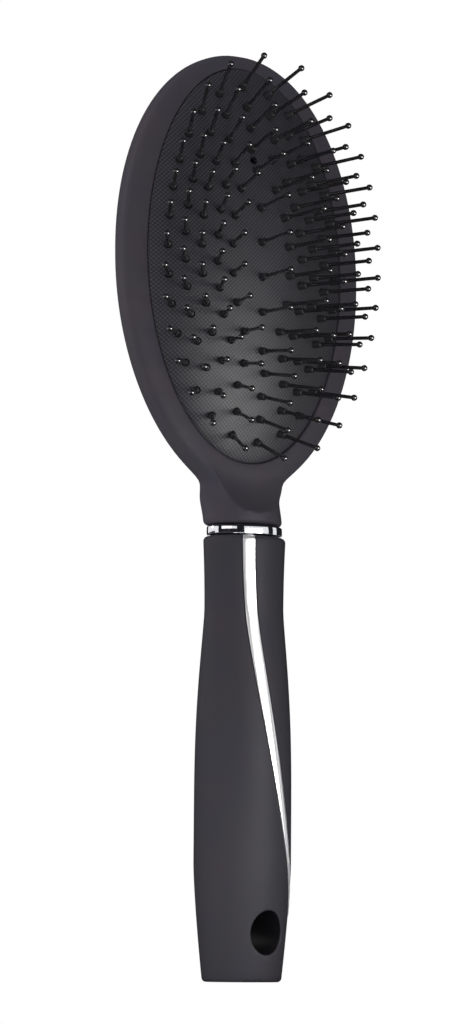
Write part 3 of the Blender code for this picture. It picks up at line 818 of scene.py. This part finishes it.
stripe = lay_strip("stripe_inlay", 0.0, STRIPE_LIFT, STRIPE_CROWN, STRIPE_THICKNESS)
apply_modifier(stripe, "BEVEL", width=STRIPE_EDGE * MM, segments=2, limit_method="ANGLE",
               angle_limit=STRIPE_CORNER)
tell(stripe)

# %% [markdown]
# The groove is cut with the wider strip, and a socket is cut into the top of the grip for the tang
# of the head. Nobody sees the socket, but it is what holds the head in the handle.

# %% Cut the groove and the socket
TANG_LENGTH = 20.0
TANG_SEGMENTS = 64
SOCKET_WALL = 3.1
CUT_MARGIN = 1.0
GROOVE_SPARE_DEPTH = 0.2

groove_depth = STRIPE_THICKNESS + GROOVE_SPARE_DEPTH
carve(grip, lay_strip("groove_cutter", GAP, CUT_MARGIN, 0.0, groove_depth + CUT_MARGIN))
tang_half_width = min(GRIP_WIDTHS["waist"], GRIP_WIDTHS["top"]) / 2 - SOCKET_WALL - GAP
tang_half_depth = min(GRIP_DEPTHS["waist"], GRIP_DEPTHS["top"]) / 2 - SOCKET_WALL - GAP


def cut_for_tang(piece, bottom, top):
    """Open a piece for the tang of the head, with a gap all round."""
    carve(piece, straight("tang_cutter", tang_half_width + GAP, tang_half_depth + GAP, bottom, top,
                          TANG_SEGMENTS))


cut_for_tang(grip, HANDLE_LENGTH - TANG_LENGTH - GAP, HANDLE_LENGTH + CUT_MARGIN)
tell(grip)

# %% [markdown]
# ## Finishing a piece
# Every finished piece gets the same last steps: smooth shading that stays crisp at sharp edges, its
# material, and the body of the solid model that it moves with, and the solid that it stands for is
# hidden.

# %% Helper: finish a piece, used on grip and stripe
SHARP = math.radians(32)


def finish_piece(piece, material, body, solid, sharp=SHARP):
    select_only(piece)
    bpy.ops.object.shade_smooth_by_angle(angle=sharp)
    if material:
        piece.data.materials.append(material)
    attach(piece, body)
    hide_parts(solid)
    tell(piece)


finish_piece(grip, grip_paint, "brush", "handle")
finish_piece(stripe, silver, "brush", "stripe_trim")

# %% [markdown]
# The inside of the hanging hole gets painted shade: a near-black colour for the shade deep in the hole.
# The grip gets this second material on the faces inside the hole's outline that look towards its middle.

# %% Paint shade inside the hole
INSIDE_HOLE = 1.003
MOST_SLANT = 0.5

# Painted shade: this near-black second material inside the hanging hole stands for the shade deep in it.
hole_shade_paint, tree, shader = new_finish("hole_painted_shade", specular=0.1, roughness=0.45)
cloud_colour(tree, shader, (20, 20, 23), (22, 22, 27), (25, 22, 23), scale=150.0)
grip.data.materials.append(hole_shade_paint)
shaded_hole_faces = 0
for face in grip.data.polygons:
    spot = (hole_place.inverted() @ face.center) / MM
    if oval_share(spot, hole_half_x, hole_half_y) < INSIDE_HOLE and abs(face.normal.y) < MOST_SLANT:
        face.material_index = 1
        shaded_hole_faces += 1
print(shaded_hole_faces, "bare faces in the hole")

# %% [markdown]
# ## The collar
# A turned chrome ring sits between the handle and the head. It is a stack of ovals with rounded
# edges and the slightest swell in its middle, because a swelling mirror gathers more of the room
# than a straight one. A hole for the tang makes it a ring.

# %% Model the collar
COLLAR_HEIGHT = 2.4
COLLAR_SETBACK = 0.95
COLLAR_EDGE = 0.35
COLLAR_SWELL = 0.045
COLLAR_STEPS = 8
COLLAR_SEGMENTS = 128

collar_base = HANDLE_LENGTH + GAP
collar_top = collar_base + COLLAR_HEIGHT
collar_half_width = GRIP_WIDTHS["top"] / 2 - COLLAR_SETBACK
collar_half_depth = GRIP_DEPTHS["top"] / 2 - COLLAR_SETBACK
collar_profile = quarter_circle(collar_base, 1, COLLAR_EDGE)
for step in range(1, COLLAR_STEPS):
    share = step / COLLAR_STEPS
    height = mix(collar_base + COLLAR_EDGE, collar_top - COLLAR_EDGE, share)
    collar_profile.append((height, -COLLAR_SWELL * math.sin(math.pi * share)))
collar_profile += reversed(quarter_circle(collar_top, -1, COLLAR_EDGE))
collar = stack_rings("ferrule", [(collar_half_width - inset, collar_half_depth - inset, height)
                                 for height, inset in collar_profile], COLLAR_SEGMENTS)
cut_for_tang(collar, collar_base - CUT_MARGIN, collar_top + CUT_MARGIN)
finish_piece(collar, chrome, "brush", "collar_ring")

# %% [markdown]
# ## The head: its section at each height
# The head shell is one moulding: a tang that goes down into the handle, a neck, and the oval head
# that carries the pad. Cut across at any height, it is flat at the front, where the rim lies, and
# domed at the back. Lower down that section shrinks to the neck's plain oval. A scoop is taken out
# of the front of the neck, so that the rim seems to flow down into it, and it is a little hollow, as
# if a thumb had pressed it.

# %% The head's section
NECK_SETBACK = 0.5
NECK_SHIFT = 0.9
NECK_EDGE = 1.3
NECK_BEND = 2.3
NECK_BEND_HEIGHT = 8.0
NECK_STRAIGHT_HEIGHT = 6.0
SCOOP_START = 3.2
SCOOP_TO_PAD = 2.5
SCOOP_EASE = 1.4
SCOOP_HOLLOW = 1.5
SCOOP_HOLLOW_RISE = 0.7
NECK_TO_PAD = 16.5
HEAD_LEAN = math.radians(2.5)
HEAD_WIDTH = 73.2
HEAD_UPPER_LENGTH = 56.5
RIM_ROUNDING = 4.2
BACK_BULGE = 9.5
CROWN_SQUARENESS = 2.07
RIM_SQUARENESS = 5.0
BACK_SQUARENESS = 2.5
NECK_BLEND = 6.7
RIM_SIDE_WIDTH = 7.0
RIM_END_WIDTH = 4.2
RIM_NECK_WIDTH = 6.7

neck_base = collar_top + GAP
neck_half_width = GRIP_WIDTHS["top"] / 2 - NECK_SETBACK
neck_half_depth = GRIP_DEPTHS["top"] / 2 - NECK_SETBACK
pad_side = HEAD_WIDTH / 2 - RIM_SIDE_WIDTH
pad_end = HEAD_UPPER_LENGTH - RIM_END_WIDTH
head_centre = neck_base + NECK_TO_PAD + pad_end * math.cos(HEAD_LEAN)
head_lower_length = pad_end + RIM_NECK_WIDTH
neck_front = NECK_SHIFT - neck_half_depth


def superoval(share, squareness):
    share = min(1.0, abs(share))
    return (1 - share ** squareness) ** (1 / squareness)


def neck_share(height):
    """How far the neck's plain oval has turned into the head's section."""
    return smoothstep((height - neck_base - NECK_STRAIGHT_HEIGHT) / (NECK_TO_PAD - NECK_STRAIGHT_HEIGHT))


def scoop_front(across, height):
    """Depth of the scoop's floor, from the front of the neck back to the rim's plane."""
    plane = (height - head_centre) * math.tan(HEAD_LEAN)
    rise = clamp((height - neck_base - SCOOP_START) / (NECK_TO_PAD - SCOOP_TO_PAD - SCOOP_START))
    hollow = SCOOP_HOLLOW * math.sin(math.pi * rise ** SCOOP_HOLLOW_RISE)
    hollow *= max(0.0, 1 - (across / neck_half_width) ** 2)
    return mix(neck_front, plane, 1 - (1 - rise) ** SCOOP_EASE) + hollow


def head_section(height):
    """Half width, widest depth, front depth and back depth of the head."""
    along = (height - head_centre) / math.cos(HEAD_LEAN)
    plane = (height - head_centre) * math.tan(HEAD_LEAN)
    middle = plane + RIM_ROUNDING
    if along >= 0:
        share = along / HEAD_UPPER_LENGTH
        return (HEAD_WIDTH / 2 * superoval(share, CROWN_SQUARENESS), middle,
                middle - RIM_ROUNDING * superoval(share, RIM_SQUARENESS),
                middle + BACK_BULGE * superoval(share, BACK_SQUARENESS))
    oval_half = HEAD_WIDTH / 2 * superoval(along / head_lower_length, 2)
    half_width = (oval_half ** NECK_BLEND + neck_half_width ** NECK_BLEND) ** (1 / NECK_BLEND)
    bend = smoothstep((height - neck_base) / NECK_BEND_HEIGHT)
    neck_middle = mix(NECK_SHIFT, middle + NECK_BEND, bend)
    front = mix(neck_front, plane, neck_share(height))
    middle = mix(neck_middle, middle, neck_share(height))
    back_share = smoothstep((height - neck_base) / (head_centre - neck_base))
    back = mix(NECK_SHIFT + neck_half_depth, RIM_ROUNDING + BACK_BULGE, back_share)
    return half_width, middle, front, back


print("pad centre at", round(head_centre, 1), "mm, pad", round(2 * pad_side, 1), "by",
      round(2 * pad_end, 1), "mm")

# %% [markdown]
# ## The head: its body
# The same walk as before makes a straight stack of round rings, one for each height that matters.
# Then each ring is shaped in code: a point keeps its direction round the ring and moves out to the
# section at its height. Rings are close together in the neck, where the form changes fastest.

# %% Model the head's body
HEAD_SEGMENTS = 144
HEAD_LOWER_RINGS = 52
HEAD_UPPER_RINGS = 36
LOWER_SPACING = 1.5
TANG_POINT = 1.2
CROWN_REACH = 0.9999

tang_bottom = neck_base - COLLAR_HEIGHT - 2 * GAP - TANG_LENGTH
head_rings = [("tang", tang_bottom, TANG_POINT), ("tang", tang_bottom + TANG_POINT, 0.0),
              ("tang", neck_base, 0.0)]
head_rings += [("head", height, inset) for height, inset in quarter_circle(neck_base, 1, NECK_EDGE)]
for step in range(1, HEAD_LOWER_RINGS + 1):
    share = (step / HEAD_LOWER_RINGS) ** LOWER_SPACING
    head_rings.append(("head", mix(neck_base + NECK_EDGE, head_centre, share), 0.0))
for step in range(1, HEAD_UPPER_RINGS + 1):
    bend = math.pi / 2 * step / HEAD_UPPER_RINGS
    share = min(math.sin(bend), CROWN_REACH)
    head_rings.append(("head", head_centre + HEAD_UPPER_LENGTH * share * math.cos(HEAD_LEAN), 0.0))


def head_point(ring, turn):
    kind, height, inset = ring
    across, along = math.cos(turn), math.sin(turn)
    if kind == "tang":
        return Vector(((tang_half_width - inset) * across, (tang_half_depth - inset) * along, height))
    half_width, middle, front, back = head_section(height)
    if along > 0:
        power = mix(2.0, BACK_SQUARENESS, neck_share(height))
        reach = back - middle
    else:
        power = mix(2.0, RIM_SQUARENESS, neck_share(height))
        reach = middle - front
    far = (abs(across) ** power + abs(along) ** power) ** (-1 / power)
    x = (half_width - inset) * across * far
    y = middle + (reach - inset) * along * far
    if along < 0 and height < head_centre:
        y = max(y, scoop_front(x, height) + inset)
    return Vector((x, y, height))


casing = stack_rings("head_casing", [(1, 1, step) for step in range(len(head_rings))], HEAD_SEGMENTS)
for vertex in casing.data.vertices:
    ring = head_rings[round(vertex.co.z / MM)]
    vertex.co = head_point(ring, math.atan2(vertex.co.y, vertex.co.x)) * MM
tell(casing)

# %% [markdown]
# ## The head: the seat of the pad
# The pad sits in an oval opening with a groove under its lip. The head is turned so that the rim
# lies flat, an oval cutter opens it, and the open edge is then walked through the whole seat in one
# go: over a small rounding, down the wall, out into the groove, back in along the ledge, and down
# into the bowl of air that lets the pad give way.

# %% Cut the seat
SEAT_EDGE = 0.45
GROOVE_TOP = 1.6
GROOVE_HEIGHT = 1.6
GROOVE_REACH = 1.6
LEDGE_WIDTH = 1.2
BACK_WALL = 3.0
AIR_SQUARENESS = 3.0
SEAT_CUT_DEPTH = 1.2
SEAT_CUT_TOP = 9.0
SEAT_SEGMENTS = 176
INSIDE_SEAT = 1.0005
SEAT_SPARE = 0.01
AIR_SHARES = (0.985, 0.95, 0.9, 0.82, 0.72, 0.6, 0.45, 0.3, 0.15, 0.04)

pad_place = (Matrix.Translation(Vector((0, 0, head_centre)) * MM)
             @ Matrix.Rotation(math.pi / 2 - HEAD_LEAN, 4, "X"))
casing.data.transform(pad_place.inverted())
seat_x = pad_side + GAP
seat_y = pad_end + GAP
wide_x = seat_x + SEAT_EDGE
wide_y = seat_y + SEAT_EDGE
carve(casing, straight("seat_cutter", wide_x, wide_y, -SEAT_CUT_DEPTH, SEAT_CUT_TOP, SEAT_SEGMENTS))
bpy.ops.object.mode_set(mode="EDIT")
select_where(casing, "FACE", lambda middle: middle.z > -SEAT_CUT_DEPTH - SEAT_SPARE
             and oval_share(middle, wide_x, wide_y) < INSIDE_SEAT)
bpy.ops.mesh.delete(type="FACE")
groove_floor = -(GROOVE_TOP + GROOVE_HEIGHT)
air_depth = RIM_ROUNDING + BACK_BULGE + groove_floor - BACK_WALL
seat_rings = rolled_edge(seat_x, seat_y, SEAT_EDGE, -1)
seat_rings += [(seat_x, seat_y, -GROOVE_TOP),
               (seat_x + GROOVE_REACH, seat_y + GROOVE_REACH, -GROOVE_TOP),
               (seat_x + GROOVE_REACH, seat_y + GROOVE_REACH, groove_floor),
               (pad_side - LEDGE_WIDTH, pad_end - LEDGE_WIDTH, groove_floor)]
for share in AIR_SHARES:
    level = groove_floor - air_depth * superoval(share, AIR_SQUARENESS)
    seat_rings.append(((pad_side - LEDGE_WIDTH) * share, (pad_end - LEDGE_WIDTH) * share, level))
select_where(casing, "EDGE", lambda middle: True)
extrude_rings(seat_rings)
bpy.ops.mesh.edge_face_add()
turn_outwards()
casing.data.transform(pad_place)
finish_piece(casing, head_coat_painted_lighter, "brush", "head_shell")

# %% [markdown]
# ## Where the pins stand
# The pins stand in five oval rings that follow the outline of the pad, with a short row down the
# middle. Pins of one ring are spaced evenly along its oval, which is measured out in small steps.
# They fan out, less so near the rim. In the photograph the pins of the upper half also lean a
# little to the right and those of the lower half to the left, which the skew stands for.

# %% Measure out the pins
RING_COUNTS = (30, 28, 22, 20, 14)
RING_PHASES = (0.17, 0.16, 0.12, 0.20, 0.05)
FIRST_RING_SIDE_INSET = 4.2
FIRST_RING_END_INSET = 5.2
RING_SIDE_STEP = 4.2
RING_END_STEP = 5.8
ROW_COUNT = 4
ROW_PITCH = 9.2
PIN_SIDE_FAN = 1.364
PIN_SIDE_EASE = 0.78
PIN_SKEW = 0.67
PIN_END_FAN = 0.24
PIN_END_SPREAD = 0.39
PAD_CROWN = 8.2
PAD_EDGE_DROP = 0.6
PAD_FULLNESS = 0.85
OVAL_STEPS = 720


def dome_level(spread_out):
    """Height of the pad's face, for 0 in its middle to 1 at its edge."""
    return -PAD_EDGE_DROP + PAD_CROWN * max(0.0, 1 - spread_out) ** PAD_FULLNESS


def pin_direction(x, along):
    side = x / pad_side
    end = along / pad_end
    sideways = PIN_SIDE_FAN * side - PIN_SIDE_EASE * side ** 3 + PIN_SKEW * side ** 2 * end
    return Vector((sideways, PIN_END_FAN * end + PIN_END_SPREAD * end ** 3, 1.0)).normalized()


def ring_feet(ring):
    half_side = pad_side - FIRST_RING_SIDE_INSET - ring * RING_SIDE_STEP
    half_end = pad_end - FIRST_RING_END_INSET - ring * RING_END_STEP
    turns = np.linspace(0, 2 * math.pi, OVAL_STEPS + 1)
    points = np.column_stack([half_side * np.sin(turns), -half_end * np.cos(turns)])
    walked = np.concatenate([[0], np.cumsum(np.linalg.norm(np.diff(points, axis=0), axis=1))])
    count = RING_COUNTS[ring]
    wanted = walked[-1] * (np.arange(count) + RING_PHASES[ring]) / count
    return list(zip(np.interp(wanted, walked, points[:, 0]), np.interp(wanted, walked, points[:, 1])))


pin_rings = {f"ring_{ring + 1}": ring_feet(ring) for ring in range(len(RING_COUNTS))}
row_middle = (ROW_COUNT - 1) / 2
pin_rings["row_centre"] = [(0.0, (step - row_middle) * ROW_PITCH) for step in range(ROW_COUNT)]
all_feet = [foot for feet in pin_rings.values() for foot in feet]
top_feet = [pin_rings["ring_4"][RING_COUNTS[3] // 2], pin_rings["ring_5"][RING_COUNTS[4] // 2]]
vent = tuple(sum(foot[axis] for foot in top_feet) / 2 for axis in (0, 1))
print(len(all_feet), "pins, vent at", [round(value, 1) for value in vent])

# %% [markdown]
# ## The rubber pad
# The pad is a thin dome of rubber with a lip round its edge that snaps into the groove. It is padded
# by nothing but air. A dome whose height depends only on how far out a point lies is again a stack
# of ovals: up the underside, round the lip, and over the top to the middle. It fits its opening
# closely, so it is a little wider than the solid model's pad, which keeps a clearance.

# %% Model the pad
PAD_THICKNESS = 1.6
PAD_SQUEEZE = 0.2
PAD_SHOULDER = 0.8
PAD_RINGS = 30
PAD_SEGMENTS = 160
UNDERSIDE_SHARES = (0.03, 0.2, 0.4, 0.6, 0.75, 0.85, 0.92)
OUTER_SHARE = 0.999
INNER_SHARE = 0.02
LIP_CLEARANCE = 0.1

lip_top = -(GROOVE_TOP + GAP)
lip_bottom = groove_floor + GAP
lip_reach = GROOVE_REACH - LIP_CLEARANCE


def dome_ring(share, drop):
    return ((pad_side + PAD_SQUEEZE) * share, (pad_end + PAD_SQUEEZE) * share,
            dome_level(share * share) - drop)


pad_profile = [dome_ring(share, PAD_THICKNESS) for share in UNDERSIDE_SHARES]
for reach, level in ((-PAD_THICKNESS, lip_bottom), (lip_reach, lip_bottom), (lip_reach, lip_top),
                     (PAD_SQUEEZE, lip_top), (PAD_SQUEEZE, -PAD_SHOULDER)):
    pad_profile.append((pad_side + reach, pad_end + reach, level))
for step in range(PAD_RINGS):
    bend = math.pi / 2 * step / PAD_RINGS
    pad_profile.append(dome_ring(math.cos(bend) * OUTER_SHARE, 0.0))
pad_profile.append(dome_ring(INNER_SHARE, 0.0))
pad = stack_rings("pad_cover", pad_profile, PAD_SEGMENTS)
tell(pad)

# %% [markdown]
# Each pin comes through its own hole, and one more hole high on the pad lets the air out. A plug is
# modelled once and copied to every foot in the direction of its pin. The copies are joined and carved
# out of the pad together, and one last copy of the plug then cuts the air hole.

# %% Pierce the pad
ROOT_RADIUS = 0.9
PIN_CLEARANCE = 0.15
VENT_RADIUS = 1.05
PLUG_BOTTOM = -6.0
PLUG_TOP = 4.0
PLUG_SIDES = 14


def pin_matrix(foot):
    """Where a pin modelled along Z goes, in the plane of the pad."""
    x, along = foot
    turned = pin_direction(x, along).to_track_quat("Z", "Y").to_matrix().to_4x4()
    level = dome_level((x / pad_side) ** 2 + (along / pad_end) ** 2)
    return Matrix.Translation(Vector((x, along, level)) * MM) @ turned


def copy_to(pattern, matrices, name):
    """Join copies of a piece, each with its own mesh, into one."""
    deselect_all()
    for matrix in matrices:
        twin = bpy.data.objects.new(name, pattern.data.copy())
        twin.data.transform(matrix)
        bpy.context.scene.collection.objects.link(twin)
        twin.select_set(True)
        bpy.context.view_layer.objects.active = twin
    bpy.ops.object.join()
    joined = bpy.context.object
    joined.name = joined.data.name = name
    return joined


hole_radius = ROOT_RADIUS + PIN_CLEARANCE
plug = straight("plug", hole_radius, hole_radius, PLUG_BOTTOM, PLUG_TOP, PLUG_SIDES)
carve(pad, copy_to(plug, [pin_matrix(foot) for foot in all_feet], "plugs"))
vent_scale = Matrix.Diagonal((VENT_RADIUS / hole_radius, VENT_RADIUS / hole_radius, 1, 1))
carve(pad, copy_to(plug, [pin_matrix(vent) @ vent_scale], "vent_plug"))
bpy.data.objects.remove(plug)
pad.data.transform(pad_place)
finish_piece(pad, rubber, "brush", "cushion")

# %% [markdown]
# ## The pins
# One pin is modelled and copied 118 times, so it has few faces: a broad head under the rubber that
# keeps it in, a thick root that stands out of the pad with a step at its top, a thin shaft, and the
# ball that is kind to the scalp. The root gets the matt nylon, and all above it the glossy one. Each
# ring of pins is one piece, because it moves as one. With ten sides, neighbouring faces of a pin
# already meet at 36 degrees, so the pins are smoothed up to a wider angle than the other pieces.

# %% Model one pin
PIN_LENGTH = 13.3
ANCHOR_RADIUS = 1.5
ANCHOR_LEVELS = (-3.3, -2.7, -2.6)
ROOT_LENGTH = 2.1
ROOT_BEVEL_WIDTH = 0.14
ROOT_BEVEL_HEIGHT = 0.25
SHAFT_RADIUS = 0.5
SHAFT_FOOT = 0.05
SHAFT_FOOT_HEIGHT = 1.0
BALL_RADIUS = 0.86
BALL_ANGLES = (-56, -28, 0, 28, 54, 77)
PIN_SIDES = 10
PIN_SHARP = math.radians(50)

pin_profile = list(zip((ANCHOR_RADIUS, ANCHOR_RADIUS, ROOT_RADIUS), ANCHOR_LEVELS))
pin_profile += [(ROOT_RADIUS, ROOT_LENGTH - ROOT_BEVEL_HEIGHT),
                (ROOT_RADIUS - ROOT_BEVEL_WIDTH, ROOT_LENGTH),
                (SHAFT_RADIUS + SHAFT_FOOT, ROOT_LENGTH + SHAFT_FOOT),
                (SHAFT_RADIUS, ROOT_LENGTH + SHAFT_FOOT_HEIGHT)]
for degrees in BALL_ANGLES:
    bend = math.radians(degrees)
    pin_profile.append((BALL_RADIUS * math.cos(bend), PIN_LENGTH + BALL_RADIUS * math.sin(bend)))
pin = stack_rings("pin", [(radius, radius, level) for radius, level in pin_profile], PIN_SIDES)
pin.data.materials.append(nylon)
pin.data.materials.append(root_nylon)
for face in pin.data.polygons:
    face.material_index = int(face.center.z / MM < ROOT_LENGTH + SHAFT_FOOT)
tell(pin)

# %% Copy it to every foot
for body, feet in pin_rings.items():
    ring_of_pins = copy_to(pin, [pin_matrix(foot) for foot in feet], "pins_" + body)
    ring_of_pins.data.transform(pad_place)
    finish_piece(ring_of_pins, None, body, "pin_" + body, PIN_SHARP)
bpy.data.objects.remove(pin)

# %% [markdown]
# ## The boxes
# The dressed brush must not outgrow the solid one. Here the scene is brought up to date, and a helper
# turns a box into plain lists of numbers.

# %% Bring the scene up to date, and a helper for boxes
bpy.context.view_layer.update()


def plain(box):
    return [[float(value) for value in corner] for corner in box]
